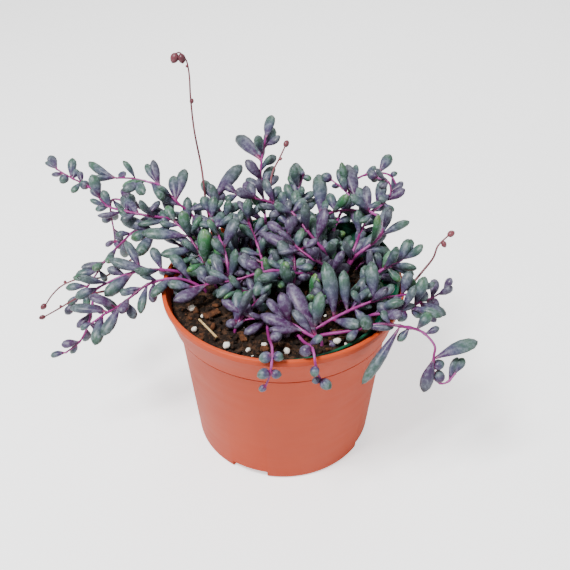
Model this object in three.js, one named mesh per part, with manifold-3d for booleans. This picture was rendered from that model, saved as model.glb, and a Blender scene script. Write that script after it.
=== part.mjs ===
// A potted othonna: a trailing succulent with bean-shaped leaves on thin red stems, in a green nursery
// liner that stands tilted inside a terracotta-coloured plastic pot.
// Millimetres, +Z up. The origin is the middle of the outer pot's flat underside, and -Y is the front.
import * as THREE from 'three';
import { mergeVertices } from 'three/addons/utils/BufferGeometryUtils.js';
import Module from 'manifold-3d';

const wasm = await Module();
wasm.setup();

// ---- driving dimensions ----
const POT_HEIGHT = 101;
const POT_BASE_RADIUS = 50.8;
const POT_WALL_TOP_RADIUS = 57.6;
const POT_BAND_BOTTOM = 82.3;
const POT_BAND_RADIUS = 60;
const POT_RIM_RADIUS = 65;
const POT_THICKNESS = 2.2;
const POT_FLOOR = 3;
const NOTCH_HEIGHT = 4.4;
const NOTCH_DEPTH = 4;
const NOTCH_ANGLE = 24;
const NOTCH_FIRST = 248;
const NOTCH_COUNT = 4;

const LINER_HEIGHT = 75;
const LINER_RIM_RADIUS = 59.5;
const LINER_SHOULDER_RADIUS = 48;
const LINER_SHOULDER_HEIGHT = 57;
const LINER_NECK_RADIUS = 53.5;
const LINER_NECK_HEIGHT = 67;
const LINER_FLANGE_HEIGHT = 71;
const LINER_BASE_RADIUS = 32;
const LINER_THICKNESS = 1.3;
const LINER_RIM_CENTRE_Z = 99.5;
const LINER_SHIFT = 4.5;
const LINER_TILT = 8;
const LINER_HIGH_SIDE = 43;

const SOIL_CROWN_Z = 95;
const SOIL_DROP = 2.5;
const SOIL_FLOOR_Z = 20;
const SOIL_OVER_RIM_Z = 88;
const SOIL_OVER_RIM_REACH = 20;

const GAP = 0.3;
const POT_SIDES = 40;
const STEM_RADIUS = 0.9;
const STALK_RADIUS = 0.6;
const STEM_SIDES = 4;
const LEAF_SIDES = 4;
const BUD_SIDES = 5;
const LEAF_ROOT = 0.6;

// ---- colours ----
const COLOURS = {
  terracotta: 0xc06a50,
  liner: 0x0f5a40,
  soil: 0x2a1e16,
  perlite: 0xe8e4d8,
  bark: 0x6b4630,
  straw: 0xc9a877,
  foliage: 0x6f8878,
  stalk: 0x8a5a60,
};

// ---- stems: the route is a list of points in mm, chosen by hand ----
// A leaf is [place along the stem from 0 to 1, length, compass heading, climb], in mm and degrees.
// A bead is a leaf almost as wide as it is long.
const STEMS = [
  {
    name: 'stem_high_left',
    route: [
      [-40, 29, 97], [-45, 37, 104], [-52, 45, 114], [-60, 46, 122], [-70, 53, 129],
      [-77, 54, 131], [-87, 60, 130], [-98, 66, 127]
    ],
    leaves: [
      [0.4, 14, 10, 10], [0.5, 23, 80, 25], [0.5, 18, 100, 25], [0.65, 17, 120, 20],
      [0.7, 17, -60, -10], [0.75, 14, -150, -10], [0.85, 18, -60, -5], [1, 15, 180, 0],
      [1, 25, 140, 5]
    ],
  },
  {
    name: 'stem_far_left',
    route: [
      [-40, 23, 97], [-48, 33, 105], [-59, 42, 112], [-76, 40, 117], [-89, 43, 118],
      [-101, 49, 118], [-108, 57, 120], [-116, 66, 122], [-127, 75, 122], [-140, 90, 120]
    ],
    leaves: [
      [0.3, 18, 150, 5], [0.4, 12, 60, 20], [0.45, 10, -150, -10], [0.5, 14, 80, 15],
      [0.6, 11, 160, 10], [0.65, 10, 130, 20], [0.75, 8, 10, 5], [0.75, 7, 140, 0],
      [0.8, 9, -120, -20], [0.85, 8, 80, 15], [0.9, 6, -120, -20], [1, 11, 140, 5],
      [1, 15, 120, 10]
    ],
  },
  {
    name: 'stem_hanging_left',
    route: [
      [-44, 24, 96], [-52, 37, 103], [-65, 49, 109], [-84, 55, 113], [-97, 63, 114],
      [-103, 67, 111], [-104, 64, 105], [-103, 61, 96], [-103, 60, 87]
    ],
    leaves: [
      [0.4, 12, -180, -15], [0.75, 10, -40, -25], [0.8, 10, -180, -15], [0.85, 7, -160, -35],
      [1, 9, 160, -35], [1, 6, -20, -55]
    ],
  },
  {
    name: 'stem_mid_left',
    route: [
      [-43, 13, 96], [-52, 23, 102], [-67, 33, 108], [-83, 42, 107], [-94, 39, 99], [-103, 34, 91],
      [-108, 26, 86], [-113, 20, 81], [-119, 14, 75]
    ],
    leaves: [
      [0.4, 19, -120, -20], [0.4, 22, 160, 10], [0.55, 9, -170, 0], [0.65, 9, -140, -35],
      [0.75, 14, -170, -10], [0.8, 14, -170, -10], [0.8, 8, -40, -45], [0.9, 13, -180, -5],
      [0.95, 9, 20, -35], [0.95, 10, -150, -25], [1, 9, -140, -35]
    ],
  },
  {
    name: 'stem_low_left',
    route: [
      [-44, 7, 96], [-56, 5, 103], [-68, 3, 106], [-77, 3, 105], [-85, 4, 102], [-95, 2, 98],
      [-102, 0, 94], [-104, -4, 87], [-105, -9, 82], [-107, -13, 77], [-111, -16, 71],
      [-119, -18, 65]
    ],
    leaves: [
      [0.15, 11, -120, -35], [0.25, 14, 120, 35], [0.3, 24, 170, 10], [0.4, 20, -140, -20],
      [0.45, 11, 160, 10], [0.6, 14, -170, -20], [0.7, 8, -10, -45], [0.75, 11, -150, -35],
      [0.8, 8, 0, -40], [0.9, 10, -170, -5], [1, 9, -180, -15]
    ],
  },
  {
    name: 'stem_front_left',
    route: [
      [-42, -2, 96], [-52, 0, 101], [-62, -3, 104], [-72, -5, 102], [-80, -10, 98], [-88, -13, 93],
      [-95, -14, 89], [-102, -15, 84]
    ],
    leaves: [
      [0.3, 13, -70, -20], [0.45, 12, -90, -30], [0.5, 17, -100, -30], [0.6, 9, -180, 5],
      [0.7, 11, -50, -40], [0.75, 19, -120, -30], [0.85, 22, 170, 0], [0.9, 17, -100, -30],
      [1, 8, -170, -30]
    ],
  },
  {
    name: 'stem_shoulder_left',
    route: [
      [-36, 0, 96], [-41, 7, 103], [-47, 16, 110], [-53, 23, 116], [-60, 30, 119]
    ],
    leaves: [
      [0.25, 11, 40, 25], [0.3, 22, 130, 20], [0.35, 10, 160, 0], [0.5, 12, 20, 30],
      [0.5, 16, -160, -15], [0.6, 20, -160, 0], [0.75, 13, 40, 45], [0.75, 26, -180, 5],
      [1, 12, 120, 25], [1, 16, -160, -20]
    ],
  },
  {
    name: 'stem_front_pink',
    route: [
      [21, 8, 97], [15, 0, 105], [7, -6, 110], [-4, -9, 114], [-14, -12, 114], [-23, -14, 112],
      [-36, -12, 108], [-47, -10, 104]
    ],
    leaves: [
      [0.25, 11, -150, -20], [0.4, 12, 160, 25], [0.5, 17, -120, -20], [0.6, 13, 140, 30],
      [0.7, 15, -140, -20], [0.75, 13, 160, 15], [0.8, 17, 110, 30], [0.9, 11, 120, 30],
      [0.9, 20, -150, -10], [1, 14, -180, 10]
    ],
  },
  {
    name: 'stem_broad_purple',
    route: [
      [27, -3, 97], [26, -2, 105], [22, -2, 112], [15, -2, 117], [8, 3, 120], [2, 12, 122]
    ],
    leaves: [
      [0.2, 17, 160, 0], [0.3, 12, 20, 10], [0.5, 38, 150, 10], [0.55, 13, 120, 40],
      [0.75, 11, 10, 30], [0.75, 12, -180, -10], [1, 12, 60, 40], [1, 13, 150, 20]
    ],
  },
  {
    name: 'stem_centre_back',
    route: [
      [-16, -11, 96], [-13, -5, 101], [-11, 0, 106], [-12, 10, 111], [-16, 21, 116],
      [-20, 34, 120]
    ],
    leaves: [
      [0.2, 10, 180, -5], [0.35, 10, 180, 0], [0.35, 12, 0, 0], [0.55, 12, 160, 5],
      [0.65, 13, 0, 5], [0.75, 12, 30, 20], [0.75, 13, 160, 10], [0.9, 14, 160, 15],
      [1, 11, 20, 35], [1, 12, 120, 25]
    ],
  },
  {
    name: 'stem_centre_left',
    route: [
      [-29, -11, 96], [-29, -4, 104], [-30, 4, 112], [-33, 12, 117], [-37, 23, 120],
      [-41, 34, 122]
    ],
    leaves: [
      [0.15, 10, 160, -20], [0.4, 11, 20, 10], [0.4, 11, 160, 10], [0.6, 11, 40, 30],
      [0.8, 11, 160, 5], [0.8, 12, 20, 30], [1, 11, 20, 40], [1, 11, 120, 40]
    ],
  },
  {
    name: 'stem_centre_right',
    route: [
      [3, -12, 97], [6, -6, 106], [6, 1, 114], [4, 9, 119], [3, 22, 122], [2, 35, 125]
    ],
    leaves: [
      [0.2, 10, 180, -25], [0.35, 10, -10, 5], [0.35, 10, 180, 5], [0.55, 11, 20, 30],
      [0.75, 10, -160, 0], [0.75, 11, 20, 35], [1, 10, 0, 40], [1, 11, 120, 40]
    ],
  },
  {
    name: 'stem_back_left_thick',
    route: [
      [-24, 22, 98], [-27, 25, 108], [-31, 31, 116], [-35, 38, 121], [-40, 46, 124]
    ],
    leaves: [
      [0.25, 11, 160, 5], [0.55, 12, 140, 20], [0.55, 13, 20, 20], [0.7, 11, 160, 15],
      [0.75, 12, 20, 15], [1, 14, 120, 30], [1, 32, 60, 15]
    ],
  },
  {
    name: 'stem_back_top',
    route: [
      [-8, 41, 100], [-10, 42, 112], [-11, 50, 118], [-12, 56, 125], [-13, 63, 133],
      [-12, 67, 141], [-10, 71, 150]
    ],
    leaves: [
      [0.4, 12, 20, 15], [0.4, 12, 150, 10], [0.55, 13, 40, 20], [0.55, 13, 140, 10],
      [0.7, 9, 150, 20], [0.75, 11, 30, 20], [0.8, 31, 120, 5], [0.9, 18, 70, 20], [1, 19, 80, 20]
    ],
  },
  {
    name: 'stem_back_right_top',
    route: [
      [10, 32, 99], [8, 34, 110], [7, 46, 114], [8, 54, 119], [9, 60, 124], [12, 64, 129]
    ],
    leaves: [
      [0.45, 10, 20, 10], [0.5, 17, 80, 25], [0.65, 14, 160, 0], [0.65, 31, 90, 25],
      [0.7, 12, 20, 20], [0.85, 10, 130, 25], [1, 4, 120, 25], [1, 5, -40, 0]
    ],
  },
  {
    name: 'stem_long_back',
    route: [
      [29, 16, 98], [25, 13, 108], [19, 13, 116], [12, 19, 122], [5, 27, 127], [-4, 35, 128],
      [-15, 42, 127], [-26, 50, 125]
    ],
    leaves: [
      [0.25, 10, 10, 25], [0.4, 9, 170, -5], [0.55, 11, 40, 30], [0.6, 11, -160, -15],
      [0.7, 10, -170, -15], [0.75, 11, 40, 35], [0.85, 10, 120, 35], [1, 8, -160, -15],
      [1, 12, 140, 15]
    ],
  },
  {
    name: 'stem_arching_right',
    route: [
      [34, 8, 97], [38, 11, 107], [44, 12, 113], [50, 14, 117], [54, 19, 120], [53, 26, 124],
      [46, 36, 124], [40, 44, 125], [34, 52, 128], [28, 58, 130]
    ],
    leaves: [
      [0.15, 28, 40, 15], [0.2, 10, 160, 25], [0.25, 16, 10, -5], [0.4, 20, 30, 10],
      [0.4, 19, 70, 30], [0.6, 10, -140, -15], [0.65, 9, 20, 20], [0.75, 27, 100, 25],
      [0.9, 13, 100, 30], [1, 7, 150, 15]
    ],
  },
  {
    name: 'stem_back_right',
    route: [
      [12, 20, 99], [14, 23, 109], [17, 29, 116], [23, 36, 119], [30, 40, 120], [40, 43, 119],
      [50, 45, 117]
    ],
    leaves: [
      [0.35, 10, -30, -10], [0.4, 13, 140, 30], [0.5, 10, -30, -15], [0.5, 40, 90, 10],
      [0.65, 12, 110, 35], [0.75, 12, 40, 25], [0.8, 11, -60, -25], [0.9, 11, -40, -25],
      [1, 11, 20, 15]
    ],
  },
  {
    name: 'stem_tendril_right',
    route: [
      [35, 14, 99], [40, 20, 110], [44, 30, 114], [50, 38, 120], [57, 44, 123], [61, 48, 127],
      [60, 52, 132], [54, 55, 133]
    ],
    leaves: [
      [0.4, 10, 20, 0], [0.55, 9, 140, 35], [0.7, 8, -40, -15], [0.8, 8, 40, 20],
      [0.8, 9, -140, -5], [0.9, 8, -130, -5], [1, 7, 150, 15]
    ],
  },
  {
    name: 'stem_curl_right',
    route: [
      [27, 31, 108], [31, 40, 114], [35, 48, 119], [39, 56, 125], [44, 61, 130], [54, 63, 132],
      [62, 62, 131], [66, 59, 126]
    ],
    leaves: [
      [0.2, 10, 30, 5], [0.35, 9, 160, 20], [0.5, 9, 10, -5], [0.6, 7, 160, 25], [0.7, 9, 40, 20],
      [0.8, 7, -120, -25], [0.9, 4, 0, 25], [1, 5, -80, -35]
    ],
  },
  {
    name: 'stem_front_right',
    route: [
      [9, -40, 96], [15, -39, 99], [25, -35, 103], [35, -31, 106], [44, -29, 109], [52, -28, 111],
      [61, -27, 112], [69, -23, 112]
    ],
    leaves: [
      [0.25, 13, 130, 45], [0.35, 29, 110, 60], [0.45, 21, 100, 55], [0.5, 9, -40, -35],
      [0.55, 9, 140, 45], [0.65, 20, 100, 55], [0.7, 10, 40, 30], [0.85, 8, -140, -40],
      [0.85, 13, 60, 50], [1, 7, -40, -50], [1, 9, 20, 15]
    ],
  },
  {
    name: 'stem_loop_right',
    route: [
      [18, -39, 95], [33, -42, 101], [47, -43, 106], [58, -47, 108], [68, -45, 103], [75, -46, 95],
      [75, -48, 89], [76, -50, 79], [79, -52, 75], [83, -52, 76], [87, -49, 79]
    ],
    leaves: [
      [0.25, 9, -140, -25], [0.4, 8, 130, 40], [0.45, 34, -140, -45], [0.5, 9, -160, -50],
      [0.6, 8, 20, 15], [0.75, 25, 20, 10], [0.75, 18, -120, -60], [0.8, 6, 30, 10],
      [0.9, 7, 100, 50], [0.95, 13, 60, 40], [1, 9, 50, 40]
    ],
  },
  {
    name: 'stem_right_knot',
    route: [
      [43, -27, 97], [46, -34, 105], [55, -36, 108], [63, -33, 108], [70, -26, 107],
      [76, -21, 105], [83, -16, 106]
    ],
    leaves: [
      [0.35, 7, 150, 35], [0.45, 8, 120, 50], [0.5, 6, -140, -55], [0.6, 7, -40, -45],
      [0.7, 13, -40, -35], [0.85, 6, -40, -45], [1, 8, 40, 50]
    ],
  },
  {
    name: 'stem_right_upright',
    route: [
      [42, -8, 99], [47, -7, 108], [53, -7, 114], [59, -7, 117], [64, -4, 120]
    ],
    leaves: [
      [0.3, 9, 0, -15], [0.5, 8, 160, 20], [0.6, 10, 120, 55], [0.7, 10, -40, -30],
      [0.75, 16, -40, 20], [0.8, 8, 0, -15], [0.9, 10, 40, 30], [1, 9, 60, 55]
    ],
  },
  {
    name: 'stem_front_centre',
    route: [
      [19, -44, 96], [12, -43, 100], [6, -39, 102], [-2, -35, 102], [-12, -32, 101],
      [-19, -31, 99]
    ],
    leaves: [
      [0, 9, 20, 15], [0.15, 33, 120, 30], [0.3, 24, 160, 10], [0.5, 17, 140, 30],
      [0.6, 10, -60, -30], [0.75, 14, -150, -20], [0.9, 20, 150, 15], [1, 8, -160, -15]
    ],
  },
  {
    name: 'stem_front_beads',
    route: [
      [-8, -29, 96], [-7, -46, 101], [-5, -60, 106], [-5, -67, 104], [-6, -69, 97], [-8, -69, 90]
    ],
    leaves: [
      [0.45, 6, 20, 10], [0.7, 6, 190, -15], [0.7, 5, -10, -10], [0.85, 6, 190, -15],
      [0.85, 5, -5, -15], [1, 4, 190, -40]
    ],
  },
  {
    name: 'stem_front_beads_right',
    route: [
      [7, -39, 96], [10, -50, 101], [14, -61, 106], [15, -67, 104], [16, -68, 98], [18, -68, 93]
    ],
    leaves: [
      [0.6, 6, -160, -10], [0.5, 8, 20, 30], [0.8, 5, -100, -30], [1, 6, -40, -20],
      [1, 4, 190, -10]
    ],
  },
  {
    name: 'stem_front_tuft',
    route: [
      [-24, -34, 96], [-20, -30, 101], [-14, -24, 104], [-11, -20, 107]
    ],
    leaves: [
      [0.3, 7, -180, -15], [0.7, 8, -170, 0], [0.7, 8, -10, 0], [1, 4, 160, 30], [1, 5, 10, 25]
    ],
  },
];

// ---- flower stalks: a thin bare stalk with buds [place, size, heading, climb] ----
const STALKS = [
  {
    name: 'flower_stalk_tall',
    route: [
      [-42, 47, 102], [-44, 46, 124], [-46, 54, 140], [-49, 58, 161], [-50, 61, 179],
      [-50, 63, 190], [-51, 64, 198], [-54, 65, 202], [-56, 65, 202]
    ],
    buds: [[1, 6, 200, -60], [0.97, 5.5, 300, -70], [0.72, 3, 60, 60], [0.9, 2, 240, 20]],
  },
  {
    name: 'flower_stalk_back',
    route: [
      [-4, 59, 112], [-7, 52, 128], [-6, 58, 135], [-2, 62, 142], [1, 64, 148]
    ],
    buds: [[1, 4.5, 60, 40], [0.8, 2.5, 0, 30]],
  },
  {
    name: 'flower_stalk_left',
    route: [
      [-77, 35, 100], [-92, 28, 91], [-106, 30, 81], [-118, 31, 80], [-129, 28, 77],
      [-135, 24, 73], [-138, 19, 70]
    ],
    buds: [[1, 4.5, 220, -30], [0.8, 2.5, 100, 20]],
  },
  {
    name: 'flower_stalk_left_low',
    route: [
      [-93, 1, 94], [-106, 5, 88], [-116, 7, 83], [-126, 6, 77], [-134, 4, 73]
    ],
    buds: [[1, 4, 200, -10], [0.8, 2, 80, 30]],
  },
  {
    name: 'flower_stalk_right',
    route: [
      [62, -18, 107], [66, -16, 110], [72, -12, 116], [77, -9, 122], [79, -7, 128], [84, -4, 132]
    ],
    buds: [[1, 4.5, 30, 20], [0.9, 4, 330, -60]],
  },
];

// ---- loose grains lying on the soil: [x, y, size] ----
const PERLITE_GRAINS = [
  [-48, -17, 4.5], [-28, -46, 4], [-9, -46, 3.6], [27, -43, 4.4], [2, -50, 3.8], [-45, -33, 3.4],
  [-17, -49, 3], [36, -36, 3.2],
];
const BARK_CHIPS = [
  [-37, -22, 9, 30], [-20, -40, 7, 110],
];
const STRAW = { from: [-43, -27], to: [-33, -41], radius: 0.6 };

// Where a leaf would touch a neighbour, it turns aside by one of these [compass, climb] steps.
const LEAF_TURNS = [
  [0, 0], [0, 20], [25, 10], [-25, 10], [0, -20], [50, 15], [-50, 15], [0, 45],
  [90, 20], [-90, 20], [180, 30],
];

// ---- helpers ----
const radians = THREE.MathUtils.degToRad;

function toSolid(geometry) {
  const bare = geometry.clone();
  bare.deleteAttribute('normal');
  bare.deleteAttribute('uv');
  const merged = mergeVertices(bare, 1e-4);
  return new wasm.Manifold(new wasm.Mesh({
    numProp: 3,
    vertProperties: new Float32Array(merged.attributes.position.array),
    triVerts: new Uint32Array(merged.index.array),
  }));
}

function toGeometry(solid) {
  const mesh = solid.getMesh();
  const geometry = new THREE.BufferGeometry();
  geometry.setAttribute('position', new THREE.BufferAttribute(mesh.vertProperties, 3));
  geometry.setIndex(new THREE.BufferAttribute(mesh.triVerts, 1));
  geometry.computeVertexNormals();
  return geometry;
}

function lathe(outline, sides) {
  const points = outline.map(([radius, height]) => new THREE.Vector2(radius, height));
  return new THREE.LatheGeometry(points, sides).rotateX(Math.PI / 2);
}

function named(name, geometry, colour, roughness) {
  const material = new THREE.MeshStandardMaterial({ color: colour, roughness, metalness: 0 });
  const mesh = new THREE.Mesh(geometry, material);
  mesh.name = name;
  return mesh;
}

function heading(compass, climb) {
  const flat = Math.cos(radians(climb));
  return new THREE.Vector3(
    flat * Math.cos(radians(compass)), flat * Math.sin(radians(compass)), Math.sin(radians(climb)));
}

function overlaps(solid, others) {
  const box = solid.boundingBox();
  return others.some((other) => {
    const far = [0, 1, 2].some((k) => box.max[k] < other.box.min[k] || box.min[k] > other.box.max[k]);
    return !far && !solid.intersect(other.solid).isEmpty();
  });
}

function occupy(owner, solid) {
  return { owner, solid, box: solid.boundingBox() };
}

// ---- pots ----
function outerPot() {
  const inside = (radius) => radius - POT_THICKNESS;
  const shell = lathe([
    [0, 0], [POT_BASE_RADIUS - 1.2, 0], [POT_BASE_RADIUS, 1.2],
    [POT_WALL_TOP_RADIUS, POT_BAND_BOTTOM - 0.6], [POT_BAND_RADIUS, POT_BAND_BOTTOM],
    [POT_RIM_RADIUS, POT_HEIGHT - 0.8], [POT_RIM_RADIUS - 0.8, POT_HEIGHT],
    [POT_RIM_RADIUS - 1.8, POT_HEIGHT], [inside(POT_RIM_RADIUS) - 0.2, POT_HEIGHT - 0.8],
    [inside(POT_BAND_RADIUS), POT_BAND_BOTTOM + 0.6], [inside(POT_WALL_TOP_RADIUS), POT_BAND_BOTTOM - 1.4],
    [inside(POT_BASE_RADIUS), POT_FLOOR], [0, POT_FLOOR],
  ], POT_SIDES);
  let pot = toSolid(shell);
  for (let i = 0; i < NOTCH_COUNT; i += 1) {
    pot = pot.subtract(footNotch(NOTCH_FIRST + i * 360 / NOTCH_COUNT));
  }
  return pot;
}

// A foot notch is a short curved slot through the bottom corner, which lets water out.
function footNotch(middle) {
  const outer = POT_BASE_RADIUS + 2;
  const inner = POT_BASE_RADIUS - NOTCH_DEPTH;
  const start = radians(middle - NOTCH_ANGLE / 2);
  const end = radians(middle + NOTCH_ANGLE / 2);
  const shape = new THREE.Shape();
  shape.absarc(0, 0, outer, start, end, false);
  shape.absarc(0, 0, inner, end, start, true);
  shape.closePath();
  const settings = { depth: NOTCH_HEIGHT + 1, bevelEnabled: false, curveSegments: 4 };
  const slot = new THREE.ExtrudeGeometry(shape, settings);
  return toSolid(slot.translate(0, 0, -1));
}

// Puts a shape made upright at the origin into the liner's tilted place.
function intoLinerPlace(geometry) {
  const toward = heading(LINER_HIGH_SIDE, 0);
  const axis = heading(LINER_HIGH_SIDE + 90, 0);
  geometry.translate(0, 0, -LINER_HEIGHT);
  geometry.applyMatrix4(new THREE.Matrix4().makeRotationAxis(axis, -radians(LINER_TILT)));
  return geometry.translate(toward.x * LINER_SHIFT, toward.y * LINER_SHIFT, LINER_RIM_CENTRE_Z);
}

// The liner's outside outline from the middle of its base to its rim, moved outwards by `grow`.
function linerOutline(grow) {
  const top = LINER_HEIGHT + Math.max(grow, 0);
  return [
    [0, -grow], [LINER_BASE_RADIUS + grow, -grow],
    [LINER_SHOULDER_RADIUS + grow, LINER_SHOULDER_HEIGHT],
    [LINER_NECK_RADIUS + grow, LINER_NECK_HEIGHT],
    [LINER_RIM_RADIUS - 0.5 + grow, LINER_FLANGE_HEIGHT], [LINER_RIM_RADIUS + grow, top],
  ];
}

function linerShell(grow) {
  const outside = linerOutline(grow);
  const inside = linerOutline(-LINER_THICKNESS - grow).reverse();
  inside[0][1] = outside[outside.length - 1][1];
  return toSolid(intoLinerPlace(lathe([...outside, ...inside], POT_SIDES)));
}

// ---- soil ----
function soilHeight(x, y) {
  const reach = Math.hypot(x, y) / POT_BAND_RADIUS;
  return SOIL_CROWN_Z - SOIL_DROP * reach * reach;
}

function soil() {
  const wall = POT_BAND_RADIUS - POT_THICKNESS + 1;
  const rings = [0, 0.35, 0.7, 1].map((share) => [share * wall, soilHeight(share * wall, 0)]);
  const mound = toSolid(lathe([[0, SOIL_FLOOR_Z], [wall, SOIL_FLOOR_Z], ...rings.reverse()], POT_SIDES));
  const within = linerOutline(-LINER_THICKNESS - GAP);
  within[0][1] = LINER_THICKNESS + GAP;
  within[1][1] = LINER_THICKNESS + GAP;
  const rim = within[within.length - 1];
  const above = rim[1] + 20;
  const core = lathe([...within, [rim[0], above], [0, above]], POT_SIDES);
  const insideLiner = toSolid(intoLinerPlace(core));
  const slab = new THREE.BoxGeometry(2 * wall, 2 * wall, 20);
  const low = heading(LINER_HIGH_SIDE + 180, 0);
  slab.rotateZ(radians(LINER_HIGH_SIDE));
  const away = wall + SOIL_OVER_RIM_REACH;
  slab.translate(low.x * away, low.y * away, SOIL_OVER_RIM_Z + 10);
  const overRim = toSolid(slab);
  return mound.intersect(insideLiner.add(overRim)).subtract(linerShell(GAP));
}

function grain(x, y, size) {
  const stone = new THREE.IcosahedronGeometry(size / 2, 0).scale(1, 0.85, 0.75);
  return stone.rotateZ(x).translate(x, y, soilHeight(x, y) + size / 2);
}

function chip(x, y, length, turn) {
  const flake = new THREE.BoxGeometry(length, length * 0.4, 1.6).rotateZ(radians(turn));
  return flake.translate(x, y, soilHeight(x, y) + 1.6);
}

function twig() {
  const [x0, y0] = STRAW.from;
  const [x1, y1] = STRAW.to;
  const lift = STRAW.radius + 1;
  const start = new THREE.Vector3(x0, y0, soilHeight(x0, y0) + lift);
  const end = new THREE.Vector3(x1, y1, soilHeight(x1, y1) + lift);
  return tube(new THREE.LineCurve3(start, end), STRAW.radius, 1);
}

// ---- plant ----
function tube(curve, radius, steps) {
  const section = new THREE.Shape();
  for (let i = 0; i < STEM_SIDES; i += 1) {
    const turn = i * 2 * Math.PI / STEM_SIDES;
    const move = i === 0 ? 'moveTo' : 'lineTo';
    section[move](radius * Math.cos(turn), radius * Math.sin(turn));
  }
  section.closePath();
  return new THREE.ExtrudeGeometry(section, { steps, extrudePath: curve, bevelEnabled: false });
}

function routeCurve(route) {
  return new THREE.CatmullRomCurve3(route.map((point) => new THREE.Vector3(...point)));
}

// A leaf is a closed spindle, round in section, that grows out of the middle of its stem.
function leaf(root, length, width, direction, sides) {
  const outline = [
    [0, -LEAF_ROOT], [0.46 * width, 0.3 * length], [0.46 * width, 0.72 * length], [0, length],
  ];
  const points = outline.map(([radius, height]) => new THREE.Vector2(radius, height));
  const geometry = new THREE.LatheGeometry(points, sides);
  geometry.applyQuaternion(new THREE.Quaternion().setFromUnitVectors(new THREE.Vector3(0, 1, 0), direction));
  return toSolid(geometry.translate(root.x, root.y, root.z));
}

// Long leaves are slender, and the short ones near a stem's tip are plump.
function leafWidth(length) {
  return length < 7 ? 0.85 * length : Math.min(8, 2.9 + 0.17 * length);
}

function leafyStem(stem, curve, body, occupied) {
  const others = occupied.filter((item) => item.owner !== stem.name);
  let whole = body;
  for (const [place, length, compass, climb] of stem.leaves) {
    const root = curve.getPointAt(place);
    for (const [turn, tip] of LEAF_TURNS) {
      const direction = heading(compass + turn, climb + tip);
      const roomy = leaf(root, length + GAP, leafWidth(length) + 2 * GAP, direction, LEAF_SIDES);
      if (overlaps(roomy, others)) continue;
      const blade = leaf(root, length, leafWidth(length), direction, LEAF_SIDES);
      whole = whole.add(blade);
      occupied.push(occupy(stem.name, blade));
      break;
    }
  }
  return whole;
}

// ---- assembly ----
function plant(occupied) {
  const all = [...STEMS, ...STALKS];
  const grown = all.map((stem) => {
    const curve = routeCurve(stem.route);
    const radius = stem.buds ? STALK_RADIUS : STEM_RADIUS;
    const steps = Math.round(1.2 * stem.route.length);
    const body = toSolid(tube(curve, radius, steps));
    occupied.push(occupy(stem.name, body));
    return { stem, curve, body };
  });
  const meshes = [];
  for (const { stem, curve, body } of grown) {
    let whole = body;
    if (stem.leaves) whole = leafyStem(stem, curve, body, occupied);
    for (const [place, size, compass, climb] of stem.buds ?? []) {
      whole = whole.add(leaf(curve.getPointAt(place), size, 0.75 * size, heading(compass, climb), BUD_SIDES));
    }
    meshes.push(named(stem.name, toGeometry(whole), stem.buds ? COLOURS.stalk : COLOURS.foliage, 0.5));
  }
  return meshes;
}

function build() {
  const object = new THREE.Group();
  object.name = 'potted_othonna';
  const pot = outerPot();
  const liner = linerShell(0);
  const mix = soil();
  object.add(named('outer_pot', toGeometry(pot), COLOURS.terracotta, 0.45));
  object.add(named('nursery_liner', toGeometry(liner), COLOURS.liner, 0.45));
  object.add(named('potting_mix', toGeometry(mix), COLOURS.soil, 0.95));
  PERLITE_GRAINS.forEach(([x, y, size], i) => {
    object.add(named(`perlite_grain_${i + 1}`, grain(x, y, size), COLOURS.perlite, 0.9));
  });
  BARK_CHIPS.forEach(([x, y, length, turn], i) => {
    object.add(named(`bark_chip_${i + 1}`, chip(x, y, length, turn), COLOURS.bark, 0.9));
  });
  object.add(named('straw_piece', twig(), COLOURS.straw, 0.8));
  const occupied = [occupy('outer_pot', pot), occupy('nursery_liner', liner), occupy('potting_mix', mix)];
  plant(occupied).forEach((mesh) => object.add(mesh));
  return object;
}

export default build();
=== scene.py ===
# %% [markdown]
# # A potted othonna
# This notebook builds the looks of a trailing succulent in its pot. Bean-shaped leaves grow on thin magenta
# stems, a green nursery liner holds the soil, and the liner stands tilted inside a terracotta-coloured pot.
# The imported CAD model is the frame: every piece here goes where the frame says, in metres.

# %% Load the frame
import math
import random

import bpy
from mathutils import Matrix, Vector


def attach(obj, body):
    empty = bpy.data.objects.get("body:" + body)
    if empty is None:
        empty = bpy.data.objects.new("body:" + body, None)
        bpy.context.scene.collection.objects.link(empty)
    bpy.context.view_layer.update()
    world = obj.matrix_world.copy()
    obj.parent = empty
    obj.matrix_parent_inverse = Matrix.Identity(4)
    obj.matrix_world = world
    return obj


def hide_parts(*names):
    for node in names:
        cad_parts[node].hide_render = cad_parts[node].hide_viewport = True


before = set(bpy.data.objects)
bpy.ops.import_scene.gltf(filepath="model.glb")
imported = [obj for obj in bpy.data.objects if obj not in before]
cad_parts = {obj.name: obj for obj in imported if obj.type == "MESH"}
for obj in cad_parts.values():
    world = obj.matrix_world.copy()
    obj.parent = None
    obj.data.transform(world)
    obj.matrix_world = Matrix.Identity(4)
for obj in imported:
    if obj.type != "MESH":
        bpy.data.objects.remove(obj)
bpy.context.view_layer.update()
MM = 0.001
print("nodes in the frame:", len(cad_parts))

# %% [markdown]
# The camera comes first, so that every later choice can be seen from it. It looks down at about 37 degrees
# from the front, through a lens a little longer than normal, with no depth of field.

# %% Camera
CAMERA_LENS = 48
CAMERA_SENSOR = 36
CAMERA_RISE = math.radians(36.78)
CAMERA_REACH = 410.8 * MM
LOOK_AT = Vector((1.1, 0, 97.9)) * MM

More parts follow.
